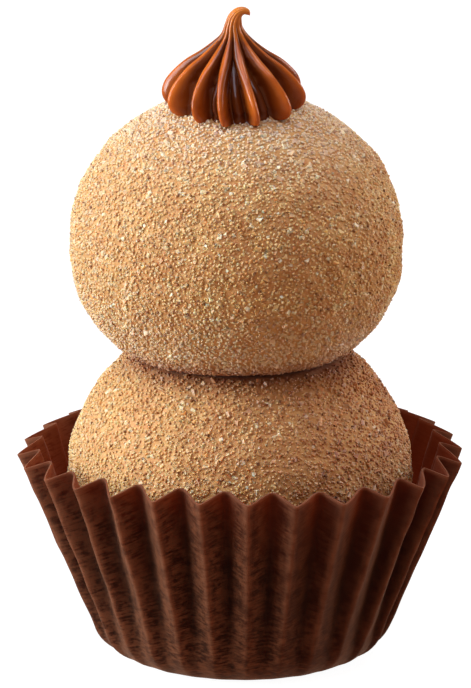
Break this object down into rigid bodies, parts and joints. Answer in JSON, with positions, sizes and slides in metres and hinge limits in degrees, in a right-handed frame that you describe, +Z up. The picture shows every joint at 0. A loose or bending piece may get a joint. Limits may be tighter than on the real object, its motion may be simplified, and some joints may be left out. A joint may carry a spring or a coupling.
{
  "type": "brigadeiro in a paper case",
  "caption": "Stacked pair of sugared fudge balls in a fluted dark paper case, topped with a piped star of caramel.",
  "frame": {"origin": "middle of the paper case's flat underside", "axes": "+Z up through both balls to the piped star; -Y is the front, from which the star's tip hooks over to +X"},
  "size_m": [0.0395, 0.0385, 0.0587],
  "materials": {
    "greaseproof_paper": "matt dark brown greaseproof paper, fluted",
    "sugared_fudge": "golden fudge rolled in coarse sugar and cinnamon",
    "caramel": "glossy thick caramel"
  },
  "bodies": {
    "root": {"paper_case": "greaseproof_paper", "lower_ball": "sugared_fudge", "upper_ball": "sugared_fudge", "caramel_swirl": "caramel"}
  },
  "joints": []
}
